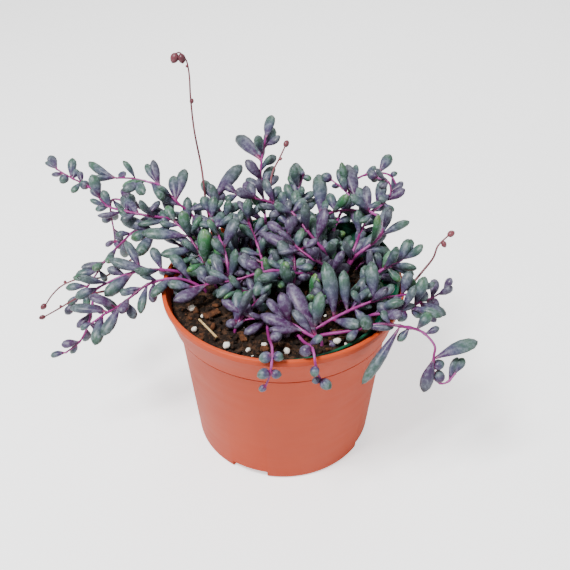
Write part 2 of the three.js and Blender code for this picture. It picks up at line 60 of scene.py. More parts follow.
camera_data = bpy.data.cameras.new("front_camera")
camera_data.lens = CAMERA_LENS
camera_data.sensor_width = CAMERA_SENSOR
camera = bpy.data.objects.new("front_camera", camera_data)
bpy.context.scene.collection.objects.link(camera)
backwards = Vector((0, -math.cos(CAMERA_RISE), math.sin(CAMERA_RISE)))
camera.location = LOOK_AT + backwards * CAMERA_REACH
camera.rotation_euler = (-backwards).to_track_quat("-Z", "Y").to_euler()
bpy.context.scene.camera = camera
print("camera height in mm:", round(camera.location.z / MM))

# %% [markdown]
# A few small helpers keep the rest short. One deselects everything before a primitive is added, one reads a
# colour written as hex, one adds a shader node, and one starts a material with its surface shader.

# %% Helpers
def nothing_selected():
    if bpy.context.object and bpy.context.object.mode != "OBJECT":
        bpy.ops.object.mode_set(mode="OBJECT")
    bpy.ops.object.select_all(action="DESELECT")


def take(piece):
    nothing_selected()
    piece.select_set(True)
    bpy.context.view_layer.objects.active = piece
    return piece


def newest(name):
    piece = bpy.context.object
    piece.name = name
    piece.data.name = name
    return piece


def settle(piece):
    """Puts the object's place into its mesh, so that the object itself sits at the origin."""
    take(piece)
    bpy.ops.object.transform_apply(location=True, rotation=True, scale=True)
    return piece


def apply_modifier(piece, kind, **settings):
    take(piece)
    modifier = piece.modifiers.new(kind.lower(), kind)
    for key, value in settings.items():
        setattr(modifier, key, value)
    bpy.ops.object.modifier_apply(modifier=modifier.name)


def linear(code):
    """An sRGB hex colour as the linear red, green, blue, alpha that Blender's sockets take."""
    channels = [int(code[i:i + 2], 16) / 255 for i in (1, 3, 5)]
    bent = [c / 12.92 if c <= 0.04045 else ((c + 0.055) / 1.055) ** 2.4 for c in channels]
    return (*bent, 1.0)


def add(tree, kind, settings=None, **links):
    """Adds one shader node. A link is a socket name with _ for a space, and a value or another socket."""
    node = tree.nodes.new(kind)
    for key, value in (settings or {}).items():
        setattr(node, key, value)
    for key, value in links.items():
        place = int(key[1:]) if key[0] == "i" and key[1:].isdigit() else key.replace("_", " ")
        if isinstance(value, bpy.types.NodeSocket):
            tree.links.new(value, node.inputs[place])
        else:
            node.inputs[place].default_value = value
    return node


def ramp(tree, factor, stops):
    """A colour ramp through (place, hex colour) stops."""
    node = add(tree, "ShaderNodeValToRGB", Fac=factor)
    elements = node.color_ramp.elements
    while len(elements) < len(stops):
        elements.new(0.5)
    for element, (place, code) in zip(elements, stops):
        element.position = place
        element.color = linear(code)
    return node.outputs["Color"]


def mixed(tree, share, first, second):
    """Two colours mixed by a share from 0 to 1."""
    return add(tree, "ShaderNodeMix", {"data_type": "RGBA"}, i0=share, i6=first, i7=second).outputs[2]


def eased(tree, value, start, end):
    """A value eased from 0 at start to 1 at end."""
    smooth = {"interpolation_type": "SMOOTHSTEP"}
    return add(tree, "ShaderNodeMapRange", smooth, i0=value, i1=start, i2=end).outputs[0]


def new_material(name):
    material = bpy.data.materials.new(name)
    material.use_nodes = True
    tree = material.node_tree
    tree.nodes.clear()
    surface = add(tree, "ShaderNodeBsdfPrincipled")
    add(tree, "ShaderNodeOutputMaterial", Surface=surface.outputs["BSDF"])
    return material, tree, surface


def bumped(tree, surface, height, strength, distance):
    bump = add(tree, "ShaderNodeBump", Height=height, Strength=strength, Distance=distance)
    tree.links.new(bump.outputs["Normal"], surface.inputs["Normal"])


def finished(piece, slot, *nodes):
    if nodes:
        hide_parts(*nodes)
    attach(piece, "root")
    print(piece.name, "faces:", len(piece.data.polygons))


# %% [markdown]
# Both pots are thin moulded plastic, round about an upright axis. A closed outline of the wall is drawn once
# and spun through a full turn, which is how a lathe would do it and gives clean rings of faces. A mesh made
# of stacked cylinders would leave steps, and a subdivided cylinder could not hold the crisp rim.

# %% Spin an outline
TURN_STEPS = 128
ARC_STEPS = 4


def spun(name, outline):
    """Spins a list of (radius, height) points in mm into a round body, and turns its faces outwards."""
    nothing_selected()
    bpy.ops.mesh.primitive_plane_add(size=MM, location=(0, 0, 0))
    piece = newest(name)
    bpy.ops.object.mode_set(mode="EDIT")
    bpy.ops.mesh.merge(type="CENTER")
    start = Vector((outline[0][0], 0, outline[0][1])) * MM
    bpy.ops.transform.translate(value=start)
    for before, after in zip(outline, outline[1:]):
        step = Vector((after[0] - before[0], 0, after[1] - before[1])) * MM
        bpy.ops.mesh.extrude_vertices_move(TRANSFORM_OT_translate={"value": step})
    bpy.ops.mesh.select_all(action="SELECT")
    bpy.ops.mesh.spin(steps=TURN_STEPS, angle=2 * math.pi, center=(0, 0, 0), axis=(0, 0, 1))
    bpy.ops.mesh.select_all(action="SELECT")
    bpy.ops.mesh.remove_doubles(threshold=0.02 * MM)
    bpy.ops.mesh.normals_make_consistent(inside=False)
    bpy.ops.object.mode_set(mode="OBJECT")
    bpy.ops.object.shade_smooth_by_angle(angle=math.radians(40))
    return piece


def rounded(centre, radius, start, end):
    """Points on an arc of the outline, from one angle to another in degrees."""
    places = [math.radians(start + (end - start) * i / ARC_STEPS) for i in range(ARC_STEPS + 1)]
    return [(centre[0] + radius * math.cos(a), centre[1] + radius * math.sin(a)) for a in places]


# %% [markdown]
# The outer pot is a common 13 cm polypropylene pot: a gently tapered wall, a flared band under the rim, and
# four low drain notches round the foot. The outline follows the CAD pot, with its corners rounded.

# %% Outer pot
POT_HEIGHT, POT_FLOOR, POT_WALL = 101, 3, 2.2
BASE_RADIUS, WALL_TOP_RADIUS = 50.8, 57.6
BAND_BOTTOM, BAND_RADIUS, RIM_RADIUS = 82.3, 60, 65
LIP_BEAD_DROP = 3.2
SEAM_DEPTH = 0.9

pot_outline = [
    (0, 0),
    *rounded((BASE_RADIUS - 1.6, 1.6), 1.6, -90, 0),
    (WALL_TOP_RADIUS - 0.1, BAND_BOTTOM - 1.2),
    (WALL_TOP_RADIUS + 0.5, BAND_BOTTOM - 0.4),
    (BAND_RADIUS - 0.3, BAND_BOTTOM - 0.2),
    (BAND_RADIUS - 0.1, BAND_BOTTOM + 0.2),
    (BAND_RADIUS - SEAM_DEPTH, BAND_BOTTOM + 0.6),
    (BAND_RADIUS + 0.25, BAND_BOTTOM + 1.1),
    (RIM_RADIUS - 0.9, POT_HEIGHT - LIP_BEAD_DROP - 0.6),
    (RIM_RADIUS - 0.2, POT_HEIGHT - LIP_BEAD_DROP),
    *rounded((RIM_RADIUS - 0.9, POT_HEIGHT - 0.9), 0.9, 0, 90),
    *rounded((RIM_RADIUS - 1.7, POT_HEIGHT - 0.7), 0.7, 90, 180),
    (BAND_RADIUS - POT_WALL, BAND_BOTTOM),
    (WALL_TOP_RADIUS - POT_WALL, BAND_BOTTOM - 1.8),
    (BASE_RADIUS - POT_WALL, POT_FLOOR + 1),
    (BASE_RADIUS - POT_WALL - 1, POT_FLOOR),
    (0, POT_FLOOR),
]
outer_pot = spun("outer_pot_shell", pot_outline)

NOTCH_HEIGHT, NOTCH_DEPTH, NOTCH_ANGLE, NOTCH_FIRST, NOTCH_COUNT = 4.4, 4, 24, 248, 4
CUTTER_OUTSIDE, CUTTER_BELOW = 3, 4


def cut_notch(pot, middle):
    """Takes a short curved slot out of the foot with a boolean, as the mould's insert would leave it."""
    half = math.radians(NOTCH_ANGLE / 2)
    inner = BASE_RADIUS - NOTCH_DEPTH
    nothing_selected()
    bpy.ops.mesh.primitive_cylinder_add(
        vertices=TURN_STEPS, radius=(BASE_RADIUS + CUTTER_OUTSIDE) * MM,
        depth=(NOTCH_HEIGHT + CUTTER_BELOW) * MM, location=(0, 0, (NOTCH_HEIGHT - CUTTER_BELOW) / 2 * MM))
    cutter = newest("notch_cutter")
    for side in (-1, 1):
        angle = math.radians(middle) + side * half
        bpy.ops.object.mode_set(mode="EDIT")
        bpy.ops.mesh.select_all(action="SELECT")
        bpy.ops.mesh.bisect(
            plane_co=(0, 0, 0), plane_no=(-side * math.sin(angle), side * math.cos(angle), 0),
            use_fill=True, clear_outer=True)
    bpy.ops.mesh.select_all(action="SELECT")
    towards = Vector((math.cos(math.radians(middle)), math.sin(math.radians(middle)), 0))
    bpy.ops.mesh.bisect(plane_co=towards * inner * MM, plane_no=towards, use_fill=True, clear_inner=True)
    bpy.ops.object.mode_set(mode="OBJECT")
    apply_modifier(pot, "BOOLEAN", operation="DIFFERENCE", object=cutter, solver="EXACT")
    bpy.data.objects.remove(cutter)


for number in range(NOTCH_COUNT):
    cut_notch(outer_pot, NOTCH_FIRST + number * 360 / NOTCH_COUNT)
take(outer_pot)
bpy.ops.object.shade_smooth_by_angle(angle=math.radians(40))

# %% [markdown]
# The pot's plastic is injection-moulded polypropylene with a terracotta pigment. It has a satin skin: a broad
# soft highlight, very fine orange peel, and a painted highlight that colours the top of the lip paler. The
# pigment is even, so only a faint cloudiness varies the colour.

# %% Moulded polypropylene, terracotta pigment
# How far below the top of the lip the painted highlight reaches, in mm.
LIP_HIGHLIGHT_BAND = 2.2


def moulded_polypropylene(name, body, pale_tone_and_highlight, roughness, lip_height):
    material, tree, surface = new_material(name)
    place = add(tree, "ShaderNodeTexCoord").outputs["Object"]
    cloud = add(tree, "ShaderNodeTexNoise", Vector=place, Scale=28, Detail=4, Roughness=0.6)
    streak_place = add(tree, "ShaderNodeMapping", Vector=place, Scale=(1, 1, 6))
    streak = add(tree, "ShaderNodeTexNoise", Vector=streak_place.outputs[0], Scale=40, Detail=3)
    height = add(tree, "ShaderNodeSeparateXYZ", Vector=place).outputs["Z"]
    # Painted highlight: the colour turns paler towards the top of the lip.
    lip_highlight = add(tree, "ShaderNodeMapRange", i0=height, i1=(lip_height - LIP_HIGHLIGHT_BAND) * MM, i2=lip_height * MM)
    base = ramp(tree, cloud.outputs[0], [(0.3, body), (0.75, pale_tone_and_highlight)])
    lip_highlighted = mixed(tree, lip_highlight.outputs[0], base, linear(pale_tone_and_highlight))
    tree.links.new(lip_highlighted, surface.inputs["Base Color"])
    sheen = add(tree, "ShaderNodeMapRange", i0=streak.outputs[0], i3=roughness - 0.05, i4=roughness + 0.07)
    tree.links.new(sheen.outputs[0], surface.inputs["Roughness"])
    surface.inputs["IOR"].default_value = 1.49
    surface.inputs["Specular IOR Level"].default_value = 0.25
    peel = add(tree, "ShaderNodeTexNoise", Vector=place, Scale=900, Detail=2)
    bumped(tree, surface, peel.outputs[0], 0.12, 0.1 * MM)
    return material


terracotta_plastic = moulded_polypropylene("terracotta_polypropylene", "#B03C16", "#B8441C", 0.5, POT_HEIGHT)
outer_pot.data.materials.append(terracotta_plastic)
finished(outer_pot, "terracotta_plastic", "outer_pot")

# %% [markdown]
# The green liner is the pot that the plant was grown in. It stands tilted, so its rim shows over the outer
# rim at the back and right and is buried under soil at the front left. It is made upright with the same spin
# and then leaned over, because a tilted outline could not be spun.

# %% Nursery liner
LINER_HEIGHT, LINER_RIM, LINER_SHOULDER, LINER_BASE, LINER_WALL = 75, 59.5, 48, 32, 1.3
LINER_RIM_Z, LINER_SHIFT, LINER_TILT, LINER_HIGH_SIDE = 99.5, 4.5, 8, 43
LINER_TOP_Z = 112

liner_outside = [
    (0, 0), (LINER_BASE, 0), (LINER_SHOULDER, 57), (LINER_SHOULDER + 5.5, 67), (LINER_RIM - 0.9, 70.6),
    (LINER_RIM - 0.4, 71.3), (LINER_RIM, LINER_HEIGHT - 0.4), (LINER_RIM - 0.3, LINER_HEIGHT),
]
liner_inside = [(radius - LINER_WALL, max(height, LINER_WALL)) for radius, height in liner_outside[1:-2]]
liner_inside.append((LINER_RIM - LINER_WALL, LINER_HEIGHT))
liner = spun("nursery_liner_shell", [*liner_outside, *reversed(liner_inside), (0, LINER_WALL)])
high_side = math.radians(LINER_HIGH_SIDE)
towards_high = Vector((math.cos(high_side), math.sin(high_side), 0))
lean = Matrix.Rotation(-math.radians(LINER_TILT), 4, Vector((-towards_high.y, towards_high.x, 0)))
rim_centre = towards_high * LINER_SHIFT * MM + Vector((0, 0, LINER_RIM_Z * MM))
liner.matrix_world = Matrix.Translation(rim_centre) @ lean @ Matrix.Translation((0, 0, -LINER_HEIGHT * MM))
settle(liner)
green_plastic = moulded_polypropylene("green_polypropylene", "#033A26", "#0C5A3E", 0.4, LINER_TOP_Z)
liner.data.materials.append(green_plastic)
finished(liner, "green_plastic", "nursery_liner")

# %% [markdown]
# The soil is a loose peat mix, so its top is an uneven crust and not a flat disc. A fine grid is trimmed to
# a round, moulded to the low mound, and roughened with displace modifiers at three grain sizes. Its edge is
# turned down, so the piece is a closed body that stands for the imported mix.

# %% Soil surface
SOIL_CROWN, SOIL_DROP, SOIL_RADIUS, SOIL_EDGE_RADIUS = 95.2, 2.5, 60.2, 47
SOIL_CELLS = 150
SOIL_SIDE_DROP, SOIL_UNDER_DROP = 5, 4


def soil_height(x, y):
    return SOIL_CROWN - SOIL_DROP * (math.hypot(x, y) / 60) ** 2


def roughened(piece, kind, grain, strength):
    texture = bpy.data.textures.new(piece.name + "_" + kind, "CLOUDS")
    texture.noise_scale = grain * MM
    texture.noise_depth = 2
    apply_modifier(piece, "DISPLACE", texture=texture, strength=strength * MM, direction="NORMAL")


def select_points(piece, wanted):
    bpy.ops.object.mode_set(mode="EDIT")
    bpy.ops.mesh.select_mode(type="VERT")
    bpy.ops.mesh.select_all(action="DESELECT")
    bpy.ops.object.mode_set(mode="OBJECT")
    for vertex in piece.data.vertices:
        vertex.select = wanted(vertex.co)
    bpy.ops.object.mode_set(mode="EDIT")


nothing_selected()
bpy.ops.mesh.primitive_grid_add(
    x_subdivisions=SOIL_CELLS, y_subdivisions=SOIL_CELLS, size=2 * SOIL_RADIUS * MM, location=(0, 0, 0))
soil = newest("potting_mix_top")
select_points(soil, lambda co: math.hypot(co.x, co.y) > SOIL_RADIUS * MM)
bpy.ops.mesh.delete(type="VERT")
bpy.ops.object.mode_set(mode="OBJECT")
for vertex in soil.data.vertices:
    vertex.co.z = soil_height(vertex.co.x / MM, vertex.co.y / MM) * MM
for kind, grain, strength in (("lumps", 14, 3.2), ("crumbs", 4.2, 3.2), ("grit", 1.7, 1.6)):
    roughened(soil, kind, grain, strength)
bpy.ops.object.mode_set(mode="EDIT")
bpy.ops.mesh.select_all(action="SELECT")
bpy.ops.mesh.region_to_loop()
bpy.ops.mesh.extrude_edges_move(TRANSFORM_OT_translate={"value": (0, 0, -SOIL_SIDE_DROP * MM)})
shrink = SOIL_EDGE_RADIUS / SOIL_RADIUS
bpy.ops.mesh.extrude_edges_move(TRANSFORM_OT_translate={"value": (0, 0, -SOIL_UNDER_DROP * MM)})
bpy.ops.transform.resize(value=(shrink, shrink, 1), center_override=(0, 0, 0))
bpy.ops.mesh.edge_face_add()
bpy.ops.mesh.select_all(action="SELECT")
bpy.ops.mesh.normals_make_consistent(inside=False)
bpy.ops.object.mode_set(mode="OBJECT")

# %% [markdown]
# Peat and composted bark are nearly black when damp and go brown as they dry. The colour follows one noise
# at grain size and a finer noise makes the bumps, the roughness is almost full, and a few paler fibres are
# left showing.

# %% Damp peat mix, dried bark and perlite
def crumbly(name, stops, grain, roughness=0.95, strength=0.6):
    material, tree, surface = new_material(name)
    place = add(tree, "ShaderNodeTexCoord").outputs["Object"]
    coarse = add(tree, "ShaderNodeTexNoise", Vector=place, Scale=1 / (grain * MM), Detail=6, Roughness=0.7)
    tree.links.new(ramp(tree, coarse.outputs[0], stops), surface.inputs["Base Color"])
    surface.inputs["Roughness"].default_value = roughness
    surface.inputs["Specular IOR Level"].default_value = 0.25
    fine = add(tree, "ShaderNodeTexNoise", Vector=place, Scale=3 / (grain * MM), Detail=4)
    bumped(tree, surface, fine.outputs[0], strength, 0.4 * MM)
    return material


peat_browns = [(0.32, "#080504"), (0.5, "#20150E"), (0.62, "#4A3222"), (0.74, "#1A110B")]
peat = crumbly("damp_peat_mix", peat_browns, 3)
perlite_stone = crumbly("expanded_perlite", [(0.3, "#BDB6A6"), (0.55, "#EDE9DE")], 1.2, 0.9, 0.4)
pine_bark = crumbly("pine_bark_chip", [(0.35, "#2A170D"), (0.6, "#5E3820"), (0.75, "#94653C")], 2.2, 0.85)
dry_straw = crumbly("dry_straw", [(0.3, "#9A7B4E"), (0.7, "#D6BC8A")], 2, 0.7, 0.2)
soil.data.materials.append(peat)
finished(soil, "potting_mix", "potting_mix")

# %% [markdown]
# Loose crumbs lie on the crust. Three lumps are roughened from a low sphere, and hundreds of copies are
# turned, scaled and scattered with a seeded random, then joined by material.

# %% Crumbs and perlite
random.seed(7)
SCATTER_REACH = 57


def unit_lump(name):
    """A rough lump 1 mm across."""
    nothing_selected()
    bpy.ops.mesh.primitive_ico_sphere_add(subdivisions=2, radius=0.5 * MM, location=(0, 0, 0))
    piece = newest(name)
    roughened(piece, "shape", 0.6, 0.5)
    bpy.ops.object.shade_smooth()
    return piece


def copied(master, matrix, name="copy"):
    piece = bpy.data.objects.new(name, master.data.copy())
    bpy.context.scene.collection.objects.link(piece)
    piece.data.transform(matrix)
    return piece


def joined(pieces, name):
    nothing_selected()
    for piece in pieces:
        piece.select_set(True)
    bpy.context.view_layer.objects.active = pieces[0]
    bpy.ops.object.join()
    return newest(name)


def random_turn():
    axis = Vector((random.uniform(-1, 1), random.uniform(-1, 1), random.uniform(-1, 1))).normalized()
    return Matrix.Rotation(random.uniform(0, 2 * math.pi), 4, axis)


def scatter(masters, count, smallest, largest, name, material):
    pieces = []
    for index in range(count):
        reach = SCATTER_REACH * math.sqrt(random.random())
        turn = random.uniform(0, 2 * math.pi)
        x, y = reach * math.cos(turn), reach * math.sin(turn)
        size = random.uniform(smallest, largest)
        place = Matrix.Translation(Vector((x, y, soil_height(x, y) + 0.2 + size * 0.25)) * MM)
        shape = Matrix.Diagonal((size, size * random.uniform(0.6, 1), size * random.uniform(0.5, 0.8), 1))
        pieces.append(copied(random.choice(masters), place @ random_turn() @ shape))
    whole = joined(pieces, name)
    whole.data.materials.clear()
    whole.data.materials.append(material)
    return whole


unit_lumps = [unit_lump("unit_lump_" + str(index)) for index in range(3)]
crumbs = scatter(unit_lumps, 420, 1.2, 3.6, "soil_crumbs", peat)
finished(crumbs, "potting_mix")
bark_bits = scatter(unit_lumps, 110, 1.5, 4.6, "bark_bits", pine_bark)
finished(bark_bits, "bark")
white_bits = scatter(unit_lumps, 28, 0.8, 2.2, "perlite_bits", perlite_stone)
finished(white_bits, "perlite")

GRAINS = [
    (-48, -17, 4.5), (-28, -46, 4), (-9, -46, 3.6), (27, -43, 4.4), (2, -50, 3.8), (-45, -33, 3.4),
    (-17, -49, 3), (36, -36, 3.2),
]
for number, (x, y, size) in enumerate(GRAINS, start=1):
    place = Matrix.Translation(Vector((x, y, soil_height(x, y) + size * 0.42)) * MM)
    shape = Matrix.Diagonal((size, size * 0.9, size * 0.8, 1))
    grain = copied(random.choice(unit_lumps), place @ random_turn() @ shape, "perlite_" + str(number))
    grain.data.materials.append(perlite_stone)
    finished(grain, "perlite", "perlite_grain_" + str(number))

for master in unit_lumps:
    bpy.data.objects.remove(master)

# %% [markdown]
# Two flat bark chips and one straw lie on top. Each starts from a primitive of its size and is bevelled, and
# the chips are roughened, so that their edges look broken and not sawn.

# %% Bark chips and straw
CHIPS = [(-37, -22, 9, 30), (-20, -40, 7, 110)]
CHIP_WIDTH_SHARE, CHIP_THICKNESS = 0.42, 1.6
for number, (x, y, length, turn) in enumerate(CHIPS, start=1):
    nothing_selected()
    bpy.ops.mesh.primitive_cube_add(size=MM, location=(0, 0, 0))
    chip = newest("bark_piece_" + str(number))
    chip.scale = (length, length * CHIP_WIDTH_SHARE, CHIP_THICKNESS)
    settle(chip)
    apply_modifier(chip, "BEVEL", width=0.4 * MM, segments=2)
    apply_modifier(chip, "SUBSURF", levels=2, render_levels=2)
    roughened(chip, "edge", 1.6, 1.1)
    chip.rotation_euler = (math.radians(6), math.radians(-5), math.radians(turn))
    chip.location = Vector((x, y, soil_height(x, y) + 1.7)) * MM
    settle(chip)
    chip.data.materials.append(pine_bark)
    finished(chip, "bark", "bark_chip_" + str(number))

STRAW_FROM, STRAW_TO = Vector((-43, -27, 96)), Vector((-33, -41, 96))
STRAW_RADIUS = 0.6
nothing_selected()
bpy.ops.mesh.primitive_cylinder_add(
    vertices=12, radius=STRAW_RADIUS * MM, depth=(STRAW_TO - STRAW_FROM).length * MM, end_fill_type="NGON")
straw = newest("straw_stalk")
apply_modifier(straw, "BEVEL", width=0.15 * MM, segments=2)
straw.rotation_euler = (STRAW_TO - STRAW_FROM).to_track_quat("Z", "Y").to_euler()
straw.location = (STRAW_FROM + STRAW_TO) / 2 * MM
settle(straw)
straw.data.materials.append(dry_straw)
finished(straw, "straw", "straw_piece")

# %% [markdown]
# Every leaf of this plant is the same kind of thing: a water-filled spindle that is plump near the stem's
# tip and long lower down. One of each kind is modelled from a sphere, ring by ring, and every other leaf is
# a copy that is stretched, bowed and turned. The mesh carries how far along the leaf each point is, for the
# colours.

# %% One long leaf and one bead
LEAF_AROUND, LEAF_RINGS = 8, 8
LONG_SHAPE = (0.2, 0.36, 0.62, 0.9, 1.0, 0.84, 0.42)
LONG_PLACES = (0.05, 0.16, 0.31, 0.48, 0.66, 0.84, 0.95)
BEAD_SHAPE = (0.42, 0.78, 0.97, 1.0, 0.88, 0.6, 0.2)
BEAD_PLACES = (0.06, 0.18, 0.34, 0.52, 0.7, 0.86, 0.96)


def leaf_master(name, places, shape):
    """A leaf one unit long and one unit thick, growing up from the origin."""
    nothing_selected()
    bpy.ops.mesh.primitive_uv_sphere_add(segments=LEAF_AROUND, ring_count=LEAF_RINGS, radius=0.5)
    piece = newest(name)
    levels = sorted({round(v.co.z, 4) for v in piece.data.vertices})
    rings = [[v for v in piece.data.vertices if abs(v.co.z - level) < 0.001] for level in levels]
    for ring, place, reach in zip(rings, (0, *places, 1), (0, *shape, 0)):
        now = max(math.hypot(v.co.x, v.co.y) for v in ring)
        wider = reach * 0.5 / now if now > 0.001 else 1
        for v in ring:
            v.co = (v.co.x * wider, v.co.y * wider, place)
    bpy.ops.object.shade_smooth()
    along = piece.data.attributes.new("along", "FLOAT", "POINT")
    along.data.foreach_set("value", [v.co.z for v in piece.data.vertices])
    return piece


long_leaf = leaf_master("long_leaf", LONG_PLACES, LONG_SHAPE)
bead_leaf = leaf_master("bead_leaf", BEAD_PLACES, BEAD_SHAPE)
print("faces on one leaf:", len(long_leaf.data.polygons))

# %% [markdown]
# A leaf's skin is green tissue under a thin grey wax. In strong light it colours purple from the base up, and
# the wax makes it look dusty, so the shader mixes a purple, a grey and a green leaf by each leaf's own tone,
# colours each along its length, and lays pale bluish patches over it, which stand partly for the wax bloom
# and partly for painted highlights. The wax also keeps the shine broad.

# %% Waxy leaf skin and red stem
def waxy_leaf():
    material, tree, surface = new_material("waxy_leaf_skin")
    along = add(tree, "ShaderNodeAttribute", {"attribute_name": "along"}).outputs["Fac"]
    tone = add(tree, "ShaderNodeAttribute", {"attribute_name": "tone"}).outputs["Fac"]
    place = add(tree, "ShaderNodeTexCoord").outputs["Object"]
    patch = add(tree, "ShaderNodeTexNoise", Vector=place, Scale=170, Detail=5, Roughness=0.6)
    drift = add(tree, "ShaderNodeMath", {"operation": "MULTIPLY_ADD"}, i0=patch.outputs[0], i1=0.5, i2=-0.25)
    reach = add(tree, "ShaderNodeMath", {"operation": "ADD"}, i0=along, i1=drift.outputs[0])
    purple = ramp(tree, reach.outputs[0], [
        (0.0, "#8A1450"), (0.14, "#3E0C38"), (0.45, "#42204A"), (0.8, "#50405E"), (1.0, "#2C1230")])
    grey = ramp(tree, reach.outputs[0], [
        (0.0, "#8A1C58"), (0.15, "#46204E"), (0.4, "#40405A"), (0.78, "#425C50"), (1.0, "#2A4034")])
    green = ramp(tree, reach.outputs[0], [
        (0.0, "#6A2440"), (0.1, "#33502E"), (0.4, "#1E5028"), (0.8, "#34703E"), (1.0, "#5A7A34")])
    dusty = mixed(tree, eased(tree, tone, 0.1, 0.55), purple, grey)
    skin = mixed(tree, eased(tree, tone, 0.6, 0.95), dusty, green)
    wax = add(tree, "ShaderNodeTexNoise", Vector=place, Scale=420, Detail=4, Roughness=0.7)
    # Pale bluish patches: partly the wax bloom, partly painted highlight.
    bloom_and_highlight_share = add(tree, "ShaderNodeMapRange", i0=wax.outputs[0], i1=0.45, i2=0.72, i3=0.0, i4=0.34)
    bloom_and_highlight_colour = mixed(tree, bloom_and_highlight_share.outputs[0], skin, linear("#A6AFC0"))
    tree.links.new(bloom_and_highlight_colour, surface.inputs["Base Color"])
    gloss = add(tree, "ShaderNodeMapRange", i0=wax.outputs[0], i1=0.3, i2=0.7, i3=0.3, i4=0.55)
    tree.links.new(gloss.outputs[0], surface.inputs["Roughness"])
    surface.inputs["IOR"].default_value = 1.42
    bumped(tree, surface, patch.outputs[0], 0.25, 0.25 * MM)
    return material


def juicy_stem(name, stops):
    material, tree, surface = new_material(name)
    place = add(tree, "ShaderNodeTexCoord").outputs["Object"]
    drift = add(tree, "ShaderNodeTexNoise", Vector=place, Scale=60, Detail=3)
    tree.links.new(ramp(tree, drift.outputs[0], stops), surface.inputs["Base Color"])
    surface.inputs["Roughness"].default_value = 0.38
    surface.inputs["IOR"].default_value = 1.42
    return material


leaf_skin = waxy_leaf()
stem_skin = juicy_stem("red_stem_skin", [(0.3, "#5A1245"), (0.5, "#86266E"), (0.7, "#A8559A")])
stalk_skin = juicy_stem("brown_stalk_skin", [(0.3, "#46202A"), (0.6, "#7A4048")])
